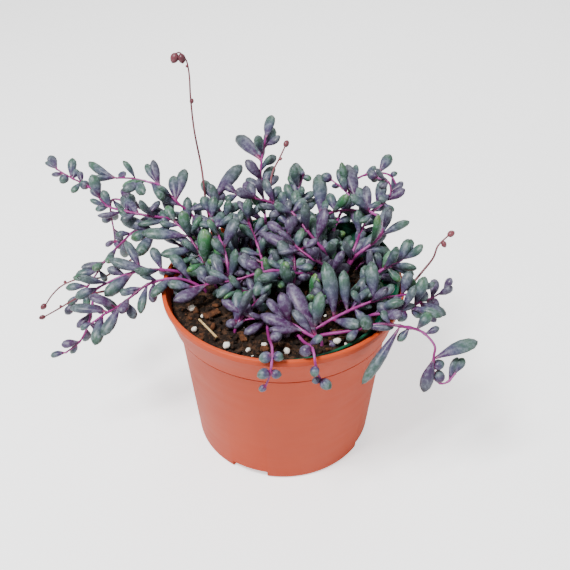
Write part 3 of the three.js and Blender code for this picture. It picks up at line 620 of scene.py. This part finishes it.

# %% [markdown]
# Each stem follows a smooth line through listed points, in mm, the same points as in the CAD model.
# Leaves that matter to the outline are listed with it, as place along the stem, length, compass heading and
# climb in degrees. Tone says how purple (0) or green (1) that stem's leaves are, and fill is how many more
# leaves grow between the listed ones.

# %% Stem routes
STEMS = {
    "stem_high_left": {
        "tone": 0.55, "fill": 9,
        "route": [
            [-40, 29, 97], [-45, 37, 104], [-52, 45, 114], [-60, 46, 122], [-70, 53, 129],
            [-77, 54, 131], [-87, 60, 130], [-98, 66, 127]],
        "leaves": [
            [0.4, 14, 10, 10], [0.5, 23, 80, 25], [0.5, 18, 100, 25], [0.65, 17, 120, 20],
            [0.7, 17, -60, -10], [0.75, 14, -150, -10], [0.85, 18, -60, -5], [1, 15, 180, 0],
            [1, 25, 140, 5]],
    },
    "stem_far_left": {
        "tone": 0.5, "fill": 12,
        "route": [
            [-40, 23, 97], [-48, 33, 105], [-59, 42, 112], [-76, 40, 117], [-89, 43, 118],
            [-101, 49, 118], [-108, 57, 120], [-116, 66, 122], [-127, 75, 122], [-140, 90, 120]],
        "leaves": [
            [0.3, 18, 150, 5], [0.4, 12, 60, 20], [0.45, 10, -150, -10], [0.5, 14, 80, 15],
            [0.6, 11, 160, 10], [0.65, 10, 130, 20], [0.75, 8, 10, 5], [0.75, 7, 140, 0],
            [0.8, 9, -120, -20], [0.85, 8, 80, 15], [0.9, 6, -120, -20], [1, 11, 140, 5],
            [1, 15, 120, 10]],
    },
    "stem_hanging_left": {
        "tone": 0.4, "fill": 9,
        "route": [
            [-44, 24, 96], [-52, 37, 103], [-65, 49, 109], [-84, 55, 113], [-97, 63, 114],
            [-103, 67, 111], [-104, 64, 105], [-103, 61, 96], [-103, 60, 87]],
        "leaves": [
            [0.4, 12, -180, -15], [0.75, 10, -40, -25], [0.8, 10, -180, -15], [0.85, 7, -160, -35],
            [1, 9, 160, -35], [1, 6, -20, -55]],
    },
    "stem_mid_left": {
        "tone": 0.45, "fill": 10,
        "route": [
            [-43, 13, 96], [-52, 23, 102], [-67, 33, 108], [-83, 42, 107], [-94, 39, 99], [-103, 34, 91],
            [-108, 26, 86], [-113, 20, 81], [-119, 14, 75]],
        "leaves": [
            [0.4, 19, -120, -20], [0.4, 22, 160, 10], [0.55, 9, -170, 0], [0.65, 9, -140, -35],
            [0.75, 14, -170, -10], [0.8, 14, -170, -10], [0.8, 8, -40, -45], [0.9, 13, -180, -5],
            [0.95, 9, 20, -35], [0.95, 10, -150, -25], [1, 9, -140, -35]],
    },
    "stem_low_left": {
        "tone": 0.3, "fill": 9,
        "route": [
            [-44, 7, 96], [-56, 5, 103], [-68, 3, 106], [-77, 3, 105], [-85, 4, 102], [-95, 2, 98],
            [-102, 0, 94], [-104, -4, 87], [-105, -9, 82], [-107, -13, 77], [-111, -16, 71],
            [-119, -18, 65]],
        "leaves": [
            [0.15, 11, -120, -35], [0.25, 14, 120, 35], [0.3, 24, 170, 10], [0.4, 20, -140, -20],
            [0.45, 11, 160, 10], [0.6, 14, -170, -20], [0.7, 8, -10, -45], [0.75, 11, -150, -35],
            [0.8, 8, 0, -40], [0.9, 10, -170, -5], [1, 9, -180, -15]],
    },
    "stem_front_left": {
        "tone": 0.4, "fill": 7,
        "route": [
            [-42, -2, 96], [-52, 0, 101], [-62, -3, 104], [-72, -5, 102], [-80, -10, 98], [-88, -13, 93],
            [-95, -14, 89], [-102, -15, 84]],
        "leaves": [
            [0.3, 13, -70, -20], [0.45, 12, -90, -30], [0.5, 17, -100, -30], [0.6, 9, -180, 5],
            [0.7, 11, -50, -40], [0.75, 19, -120, -30], [0.85, 22, 170, 0], [0.9, 17, -100, -30],
            [1, 8, -170, -30]],
    },
    "stem_shoulder_left": {
        "tone": 0.6, "fill": 12,
        "route": [
            [-36, 0, 96], [-41, 7, 103], [-47, 16, 110], [-53, 23, 116], [-60, 30, 119]],
        "leaves": [
            [0.25, 11, 40, 25], [0.3, 22, 130, 20], [0.35, 10, 160, 0], [0.5, 12, 20, 30],
            [0.5, 16, -160, -15], [0.6, 20, -160, 0], [0.75, 13, 40, 45], [0.75, 26, -180, 5],
            [1, 12, 120, 25], [1, 16, -160, -20]],
    },
    "stem_front_pink": {
        "tone": 0.35, "fill": 7,
        "route": [
            [21, 8, 97], [15, 0, 105], [7, -6, 110], [-4, -9, 114], [-14, -12, 114], [-23, -14, 112],
            [-36, -12, 108], [-47, -10, 104]],
        "leaves": [
            [0.25, 11, -150, -20], [0.4, 12, 160, 25], [0.5, 17, -120, -20], [0.6, 13, 140, 30],
            [0.7, 15, -140, -20], [0.75, 13, 160, 15], [0.8, 17, 110, 30], [0.9, 11, 120, 30],
            [0.9, 20, -150, -10], [1, 14, -180, 10]],
    },
    "stem_broad_purple": {
        "tone": 0.08, "fill": 3,
        "route": [
            [27, -3, 97], [26, -2, 105], [22, -2, 112], [15, -2, 117], [8, 3, 120], [2, 12, 122]],
        "leaves": [
            [0.2, 17, 160, 0], [0.3, 12, 20, 10], [0.5, 38, 150, 10], [0.55, 13, 120, 40],
            [0.75, 11, 10, 30], [0.75, 12, -180, -10], [1, 12, 60, 40], [1, 13, 150, 20]],
    },
    "stem_centre_back": {
        "tone": 0.45, "fill": 11,
        "route": [
            [-16, -11, 96], [-13, -5, 101], [-11, 0, 106], [-12, 10, 111], [-16, 21, 116],
            [-20, 34, 120]],
        "leaves": [
            [0.2, 10, 180, -5], [0.35, 10, 180, 0], [0.35, 12, 0, 0], [0.55, 12, 160, 5],
            [0.65, 13, 0, 5], [0.75, 12, 30, 20], [0.75, 13, 160, 10], [0.9, 14, 160, 15],
            [1, 11, 20, 35], [1, 12, 120, 25]],
    },
    "stem_centre_left": {
        "tone": 0.5, "fill": 11,
        "route": [
            [-29, -11, 96], [-29, -4, 104], [-30, 4, 112], [-33, 12, 117], [-37, 23, 120],
            [-41, 34, 122]],
        "leaves": [
            [0.15, 10, 160, -20], [0.4, 11, 20, 10], [0.4, 11, 160, 10], [0.6, 11, 40, 30],
            [0.8, 11, 160, 5], [0.8, 12, 20, 30], [1, 11, 20, 40], [1, 11, 120, 40]],
    },
    "stem_centre_right": {
        "tone": 0.5, "fill": 11,
        "route": [
            [3, -12, 97], [6, -6, 106], [6, 1, 114], [4, 9, 119], [3, 22, 122], [2, 35, 125]],
        "leaves": [
            [0.2, 10, 180, -25], [0.35, 10, -10, 5], [0.35, 10, 180, 5], [0.55, 11, 20, 30],
            [0.75, 10, -160, 0], [0.75, 11, 20, 35], [1, 10, 0, 40], [1, 11, 120, 40]],
    },
    "stem_back_left_thick": {
        "tone": 0.6, "fill": 12,
        "route": [
            [-24, 22, 98], [-27, 25, 108], [-31, 31, 116], [-35, 38, 121], [-40, 46, 124]],
        "leaves": [
            [0.25, 11, 160, 5], [0.55, 12, 140, 20], [0.55, 13, 20, 20], [0.7, 11, 160, 15],
            [0.75, 12, 20, 15], [1, 14, 120, 30], [1, 32, 60, 15]],
    },
    "stem_back_top": {
        "tone": 0.5, "fill": 11,
        "route": [
            [-8, 41, 100], [-10, 42, 112], [-11, 50, 118], [-12, 56, 125], [-13, 63, 133],
            [-12, 67, 141], [-10, 71, 150]],
        "leaves": [
            [0.4, 12, 20, 15], [0.4, 12, 150, 10], [0.55, 13, 40, 20], [0.55, 13, 140, 10],
            [0.7, 9, 150, 20], [0.75, 11, 30, 20], [0.8, 31, 120, 5], [0.9, 18, 70, 20], [1, 19, 80, 20]],
    },
    "stem_back_right_top": {
        "tone": 0.55, "fill": 11,
        "route": [
            [10, 32, 99], [8, 34, 110], [7, 46, 114], [8, 54, 119], [9, 60, 124], [12, 64, 129]],
        "leaves": [
            [0.45, 10, 20, 10], [0.5, 17, 80, 25], [0.65, 14, 160, 0], [0.65, 31, 90, 25],
            [0.7, 12, 20, 20], [0.85, 10, 130, 25], [1, 4, 120, 25], [1, 5, -40, 0]],
    },
    "stem_long_back": {
        "tone": 0.4, "fill": 11,
        "route": [
            [29, 16, 98], [25, 13, 108], [19, 13, 116], [12, 19, 122], [5, 27, 127], [-4, 35, 128],
            [-15, 42, 127], [-26, 50, 125]],
        "leaves": [
            [0.25, 10, 10, 25], [0.4, 9, 170, -5], [0.55, 11, 40, 30], [0.6, 11, -160, -15],
            [0.7, 10, -170, -15], [0.75, 11, 40, 35], [0.85, 10, 120, 35], [1, 8, -160, -15],
            [1, 12, 140, 15]],
    },
    "stem_arching_right": {
        "tone": 0.5, "fill": 11,
        "route": [
            [34, 8, 97], [38, 11, 107], [44, 12, 113], [50, 14, 117], [54, 19, 120], [53, 26, 124],
            [46, 36, 124], [40, 44, 125], [34, 52, 128], [28, 58, 130]],
        "leaves": [
            [0.15, 28, 40, 15], [0.2, 10, 160, 25], [0.25, 16, 10, -5], [0.4, 20, 30, 10],
            [0.4, 19, 70, 30], [0.6, 10, -140, -15], [0.65, 9, 20, 20], [0.75, 27, 100, 25],
            [0.9, 13, 100, 30], [1, 7, 150, 15]],
    },
    "stem_back_right": {
        "tone": 0.5, "fill": 11,
        "route": [
            [12, 20, 99], [14, 23, 109], [17, 29, 116], [23, 36, 119], [30, 40, 120], [40, 43, 119],
            [50, 45, 117]],
        "leaves": [
            [0.35, 10, -30, -10], [0.4, 13, 140, 30], [0.5, 10, -30, -15], [0.5, 40, 90, 10],
            [0.65, 12, 110, 35], [0.75, 12, 40, 25], [0.8, 11, -60, -25], [0.9, 11, -40, -25],
            [1, 11, 20, 15]],
    },
    "stem_tendril_right": {
        "tone": 0.4, "fill": 9,
        "route": [
            [35, 14, 99], [40, 20, 110], [44, 30, 114], [50, 38, 120], [57, 44, 123], [61, 48, 127],
            [60, 52, 132], [54, 55, 133]],
        "leaves": [
            [0.4, 10, 20, 0], [0.55, 9, 140, 35], [0.7, 8, -40, -15], [0.8, 8, 40, 20],
            [0.8, 9, -140, -5], [0.9, 8, -130, -5], [1, 7, 150, 15]],
    },
    "stem_curl_right": {
        "tone": 0.4, "fill": 8,
        "route": [
            [27, 31, 108], [31, 40, 114], [35, 48, 119], [39, 56, 125], [44, 61, 130], [54, 63, 132],
            [62, 62, 131], [66, 59, 126]],
        "leaves": [
            [0.2, 10, 30, 5], [0.35, 9, 160, 20], [0.5, 9, 10, -5], [0.6, 7, 160, 25], [0.7, 9, 40, 20],
            [0.8, 7, -120, -25], [0.9, 4, 0, 25], [1, 5, -80, -35]],
    },
    "stem_front_right": {
        "tone": 0.5, "fill": 6,
        "route": [
            [9, -40, 96], [15, -39, 99], [25, -35, 103], [35, -31, 106], [44, -29, 109], [52, -28, 111],
            [61, -27, 112], [69, -23, 112]],
        "leaves": [
            [0.25, 13, 130, 45], [0.35, 29, 110, 60], [0.45, 21, 100, 55], [0.5, 9, -40, -35],
            [0.55, 9, 140, 45], [0.65, 20, 100, 55], [0.7, 10, 40, 30], [0.85, 8, -140, -40],
            [0.85, 13, 60, 50], [1, 7, -40, -50], [1, 9, 20, 15]],
    },
    "stem_loop_right": {
        "tone": 0.5, "fill": 3,
        "route": [
            [18, -39, 95], [33, -42, 101], [47, -43, 106], [58, -47, 108], [68, -45, 103], [75, -46, 95],
            [75, -48, 89], [76, -50, 79], [79, -52, 75], [83, -52, 76], [87, -49, 79]],
        "leaves": [
            [0.25, 9, -140, -25], [0.4, 8, 130, 40], [0.45, 34, -140, -45], [0.5, 9, -160, -50],
            [0.6, 8, 20, 15], [0.75, 25, 20, 10], [0.75, 18, -120, -60], [0.8, 6, 30, 10],
            [0.9, 7, 100, 50], [0.95, 13, 60, 40], [1, 9, 50, 40]],
    },
    "stem_right_knot": {
        "tone": 0.35, "fill": 11,
        "route": [
            [43, -27, 97], [46, -34, 105], [55, -36, 108], [63, -33, 108], [70, -26, 107],
            [76, -21, 105], [83, -16, 106]],
        "leaves": [
            [0.35, 7, 150, 35], [0.45, 8, 120, 50], [0.5, 6, -140, -55], [0.6, 7, -40, -45],
            [0.7, 13, -40, -35], [0.85, 6, -40, -45], [1, 8, 40, 50]],
    },
    "stem_right_upright": {
        "tone": 0.6, "fill": 9,
        "route": [
            [42, -8, 99], [47, -7, 108], [53, -7, 114], [59, -7, 117], [64, -4, 120]],
        "leaves": [
            [0.3, 9, 0, -15], [0.5, 8, 160, 20], [0.6, 10, 120, 55], [0.7, 10, -40, -30],
            [0.75, 16, -40, 20], [0.8, 8, 0, -15], [0.9, 10, 40, 30], [1, 9, 60, 55]],
    },
    "stem_front_centre": {
        "tone": 0.1, "fill": 6,
        "route": [
            [19, -44, 96], [12, -43, 100], [6, -39, 102], [-2, -35, 102], [-12, -32, 101],
            [-19, -31, 99]],
        "leaves": [
            [0, 9, 20, 15], [0.15, 33, 120, 30], [0.3, 24, 160, 10], [0.5, 17, 140, 30],
            [0.6, 10, -60, -30], [0.75, 14, -150, -20], [0.9, 20, 150, 15], [1, 8, -160, -15]],
    },
    "stem_front_beads": {
        "tone": 0.4, "fill": 0,
        "route": [
            [-8, -29, 96], [-7, -46, 101], [-5, -60, 106], [-5, -67, 104], [-6, -69, 97], [-8, -69, 90]],
        "leaves": [
            [0.45, 6, 20, 10], [0.7, 6, 190, -15], [0.7, 5, -10, -10], [0.85, 6, 190, -15],
            [0.85, 5, -5, -15], [1, 4, 190, -40]],
    },
    "stem_front_beads_right": {
        "tone": 0.35, "fill": 0,
        "route": [
            [7, -39, 96], [10, -50, 101], [14, -61, 106], [15, -67, 104], [16, -68, 98], [18, -68, 93]],
        "leaves": [
            [0.6, 6, -160, -10], [0.5, 8, 20, 30], [0.8, 5, -100, -30], [1, 6, -40, -20],
            [1, 4, 190, -10]],
    },
    "stem_front_tuft": {
        "tone": 0.4, "fill": 6,
        "route": [
            [-24, -34, 96], [-20, -30, 101], [-14, -24, 104], [-11, -20, 107]],
        "leaves": [
            [0.3, 7, -180, -15], [0.7, 8, -170, 0], [0.7, 8, -10, 0], [1, 4, 160, 30], [1, 5, 10, 25]],
    },
}

STALKS = {
    "flower_stalk_tall": {
        "route": [
            [-42, 47, 102], [-44, 46, 124], [-46, 54, 140], [-49, 58, 161], [-50, 61, 179],
            [-50, 63, 190], [-51, 64, 198], [-54, 65, 202], [-56, 65, 202]],
        "buds": [[1, 6, 200, -60], [0.97, 5.5, 300, -70], [0.72, 3, 60, 60], [0.9, 2, 240, 20]],
    },
    "flower_stalk_back": {
        "route": [
            [-4, 59, 112], [-7, 52, 128], [-6, 58, 135], [-2, 62, 142], [1, 64, 148]],
        "buds": [[1, 4.5, 60, 40], [0.8, 2.5, 0, 30]],
    },
    "flower_stalk_left": {
        "route": [
            [-77, 35, 100], [-92, 28, 91], [-106, 30, 81], [-118, 31, 80], [-129, 28, 77],
            [-135, 24, 73], [-138, 19, 70]],
        "buds": [[1, 4.5, 220, -30], [0.8, 2.5, 100, 20]],
    },
    "flower_stalk_left_low": {
        "route": [
            [-93, 1, 94], [-106, 5, 88], [-116, 7, 83], [-126, 6, 77], [-134, 4, 73]],
        "buds": [[1, 4, 200, -10], [0.8, 2, 80, 30]],
    },
    "flower_stalk_right": {
        "route": [
            [62, -18, 107], [66, -16, 110], [72, -12, 116], [77, -9, 122], [79, -7, 128], [84, -4, 132]],
        "buds": [[1, 4.5, 30, 20], [0.9, 4, 330, -60]],
    },
}
print("leafy stems:", len(STEMS), "and flower stalks:", len(STALKS))

# %% [markdown]
# The line is rounded with a Catmull-Rom curve, which passes through every point. A curve object with a round
# bevel becomes the stem's tube, thick at the root and thin at the tip, with a small swelling where each leaf
# joins, and is then converted to a mesh.

# %% Stem tubes
STEP = 1.5
JOINT_SWELLING = 1.35
BEAD_LENGTH = 8


def rounded_line(points):
    """Points every STEP mm or so on a curve through the given points."""
    ends = [2 * points[0] - points[1], *points, 2 * points[-1] - points[-2]]
    line = []
    for a, b, c, d in zip(ends, ends[1:], ends[2:], ends[3:]):
        count = max(2, round((c - b).length / STEP))
        for i in range(count):
            t = i / count
            line.append(0.5 * (2 * b + (c - a) * t + (2 * a - 5 * b + 4 * c - d) * t ** 2
                               + (3 * b - a - 3 * c + d) * t ** 3))
    return [*line, points[-1]]


def on_line(line, place):
    """The point and the direction at a share of the line's length."""
    exact = max(0.0, min(place, 0.999)) * (len(line) - 1)
    index = int(exact)
    point = line[index].lerp(line[index + 1], exact - index)
    return point, (line[index + 1] - line[index]).normalized()


def stem_tube(name, line, thick, thin, joints, material):
    curve = bpy.data.curves.new(name, "CURVE")
    curve.dimensions = "3D"
    curve.bevel_depth = MM
    curve.bevel_resolution = 2
    curve.use_fill_caps = True
    spline = curve.splines.new("POLY")
    spline.points.add(len(line) - 1)
    for index, (point, knot) in enumerate(zip(line, spline.points)):
        share = index / (len(line) - 1)
        swelling = JOINT_SWELLING if any(abs(share - joint) < 0.6 / len(line) for joint in joints) else 1
        knot.co = (*(point * MM), 1)
        knot.radius = (thick + (thin - thick) * share) * swelling
    piece = bpy.data.objects.new(name, curve)
    bpy.context.scene.collection.objects.link(piece)
    take(piece)
    bpy.ops.object.convert(target="MESH")
    piece = bpy.context.object
    bpy.ops.object.shade_smooth()
    piece.data.materials.clear()
    piece.data.materials.append(material)
    return piece


def heading(compass, climb):
    flat = math.cos(math.radians(climb))
    return Vector((
        flat * math.cos(math.radians(compass)), flat * math.sin(math.radians(compass)),
        math.sin(math.radians(climb))))


def grown_leaf(root, direction, length, width, tone, bow):
    """A copy of the master leaf from root, bowed sideways, with its own tone."""
    master = bead_leaf if length < BEAD_LENGTH else long_leaf
    turned = direction.to_track_quat("Z", "Y").to_matrix().to_4x4()
    depth = random.uniform(0.85, 1) if master is bead_leaf else random.uniform(0.58, 0.75)
    shape = Matrix.Diagonal((width, width * depth, length, 1))
    piece = copied(master, Matrix.Identity(4))
    for v in piece.data.vertices:
        v.co.y -= bow * v.co.z * (1 - v.co.z) * length / width
    spin = Matrix.Rotation(random.gauss(0, 0.5), 4, "Z")
    piece.data.transform(Matrix.Scale(MM, 4) @ Matrix.Translation(root) @ turned @ spin @ shape)
    tones = piece.data.attributes.new("tone", "FLOAT", "POINT")
    tones.data.foreach_set("value", [tone] * len(piece.data.vertices))
    piece.data.materials.clear()
    piece.data.materials.append(leaf_skin)
    return piece


def leaf_width(length):
    return 0.85 * length if length < BEAD_LENGTH else min(9.2, 3.3 + 0.2 * length)


# %% [markdown]
# A stem and its leaves are one living piece, so they are joined in one mesh that stands for the CAD stem.
# The leaves between the listed ones alternate round the stem and lean forward along it, as they do on the
# plant, and are shorter and plumper near the tip.

# %% Leafy stems
GOLDEN_TURN = math.radians(137.5)
BEAD_PLUMP = 1.12
ROOT_DEPTH = 5
FIRST_FILLER, LAST_FILLER = 0.12, 0.97


def varied(tone, spread):
    return min(1, max(0, tone + random.uniform(-spread, spread)))


def filler_leaf(line, place, turn, tone):
    root, ahead = on_line(line, place)
    side = ahead.orthogonal().normalized()
    side.rotate(Matrix.Rotation(turn, 3, ahead))
    lean = math.radians(random.uniform(30, 62))
    direction = ahead * math.cos(lean) + side * math.sin(lean) + Vector((0, 0, 0.25))
    length = random.uniform(11, 20) * (1.12 - 0.5 * place ** 2)
    return grown_leaf(root, direction.normalized(), length, leaf_width(length) * random.uniform(0.85, 1.1),
                      tone, random.uniform(-0.5, 0.5))


def leafy_stem(name, stem):
    random.seed(name)
    route = [Vector(point) for point in stem["route"]]
    route.insert(0, route[0] - Vector((0, 0, ROOT_DEPTH)))
    line = rounded_line(route)
    places = [leaf[0] for leaf in stem["leaves"]]
    parts = [stem_tube(name, line, 0.95, 0.5, places, stem_skin)]
    for place, length, compass, climb in stem["leaves"]:
        root, _ = on_line(line, place)
        tone = varied(stem["tone"], 0.22)
        size = length * BEAD_PLUMP if length < 7 else length
        parts.append(grown_leaf(
            root, heading(compass, climb), size, leaf_width(size), tone, random.uniform(-0.3, 0.3)))
    turn = random.uniform(0, 6)
    for index in range(stem["fill"]):
        place = FIRST_FILLER + (LAST_FILLER - FIRST_FILLER) * (index + 0.5) / stem["fill"]
        turn += GOLDEN_TURN + random.uniform(-0.4, 0.4)
        parts.append(filler_leaf(line, place, turn, varied(stem["tone"], 0.35)))
    finished(joined(parts, name + "_grown"), "foliage", name)


for stem_name, stem in STEMS.items():
    leafy_stem(stem_name, stem)

# %% [markdown]
# Under the long stems the plant has many short young shoots, which hide most of the soil. They are scattered
# over the back and the middle with a seeded random, each one leaning outwards, and joined as one piece.

# %% Young shoots
SHOOT_COUNT, SHOOT_LEAVES = 38, 6


def young_shoots():
    random.seed("young shoots")
    parts = []
    while len(parts) < SHOOT_COUNT * (SHOOT_LEAVES + 1):
        x, y = random.uniform(-46, 50), random.uniform(-14, 46)
        if math.hypot(x, y) > 50 or (x < -20 and y < 0):
            continue
        outwards = Vector((x, y, 0)) * 0.02
        outwards += Vector((random.uniform(-0.6, 0.6), random.uniform(-0.5, 0.7), 1))
        reach = random.uniform(13, 24)
        root = Vector((x, y, 90))
        line = rounded_line([root, root + Vector((0, 0, reach * 0.4)), root + outwards.normalized() * reach])
        parts.append(stem_tube("shoot", line, 0.8, 0.5, [], stem_skin))
        tone, turn = random.uniform(0.15, 1), random.uniform(0, 6)
        for index in range(SHOOT_LEAVES):
            turn += GOLDEN_TURN
            place = 0.45 + 0.5 * index / (SHOOT_LEAVES - 1)
            parts.append(filler_leaf(line, place, turn, varied(tone, 0.2)))
    return joined(parts, "young_shoots")


finished(young_shoots(), "foliage")

# %% [markdown]
# The flower stalks are thin, bare and brown, and end in small round buds that have not opened. They are made
# as the stems are, with two or three bead-shaped buds each and no leaves.

# %% Flower stalks
BUD_WIDTH_SHARE = 0.78


def flower_stalk(name, stalk):
    random.seed(name)
    line = rounded_line([Vector(point) for point in stalk["route"]])
    parts = [stem_tube(name, line, 0.75, 0.42, [], stalk_skin)]
    for place, size, compass, climb in stalk["buds"]:
        root, _ = on_line(line, place)
        bud = grown_leaf(root, heading(compass, climb), size, BUD_WIDTH_SHARE * size, 0, 0)
        bud.data.materials.clear()
        bud.data.materials.append(stalk_skin)
        parts.append(bud)
    finished(joined(parts, name + "_grown"), "flower_stalk", name)


for stalk_name, stalk in STALKS.items():
    flower_stalk(stalk_name, stalk)

for master in (long_leaf, bead_leaf):
    bpy.data.objects.remove(master)

# %% [markdown]
# The stage is a plain white sweep: a wide floor under a white sky, with one large soft light from the upper
# left, a weaker one from the right and one behind. Large lights give the gentle shading of a light tent.
# The floor glows for the camera only, so that it looks white and casts little light up on the pot.

# %% Floor and light
FLOOR_SIZE = 8
FLOOR_DROP = 0.2 * MM
nothing_selected()
bpy.ops.mesh.primitive_plane_add(size=FLOOR_SIZE, location=(0, 0, -FLOOR_DROP))
floor = newest("floor")
paper, paper_tree, paper_surface = new_material("white_paper")
paper_surface.inputs["Base Color"].default_value = (0.95, 0.95, 0.95, 1)
paper_surface.inputs["Emission Color"].default_value = (1, 1, 1, 1)
seen = add(paper_tree, "ShaderNodeLightPath").outputs["Is Camera Ray"]
glow = add(paper_tree, "ShaderNodeMapRange", i0=seen, i3=0.12, i4=1.1)
paper_tree.links.new(glow.outputs[0], paper_surface.inputs["Emission Strength"])
paper_surface.inputs["Roughness"].default_value = 0.9
floor.data.materials.append(paper)

sky = bpy.data.worlds.new("white_sky")
bpy.context.scene.world = sky
sky.use_nodes = True
sky.node_tree.nodes["Background"].inputs["Color"].default_value = (1, 1, 1, 1)
sky.node_tree.nodes["Background"].inputs["Strength"].default_value = 0.45


def soft_light(name, place, size, power):
    light = bpy.data.lights.new(name, "AREA")
    light.size = size
    light.energy = power
    lamp = bpy.data.objects.new(name, light)
    bpy.context.scene.collection.objects.link(lamp)
    lamp.location = place
    lamp.rotation_euler = (LOOK_AT - Vector(place)).to_track_quat("-Z", "Y").to_euler()


soft_light("key_light", (-0.45, -0.35, 1.1), 0.3, 24)
soft_light("fill_light", (0.9, -0.5, 0.6), 0.8, 3)
soft_light("back_light", (0.2, 0.9, 0.8), 0.6, 4)
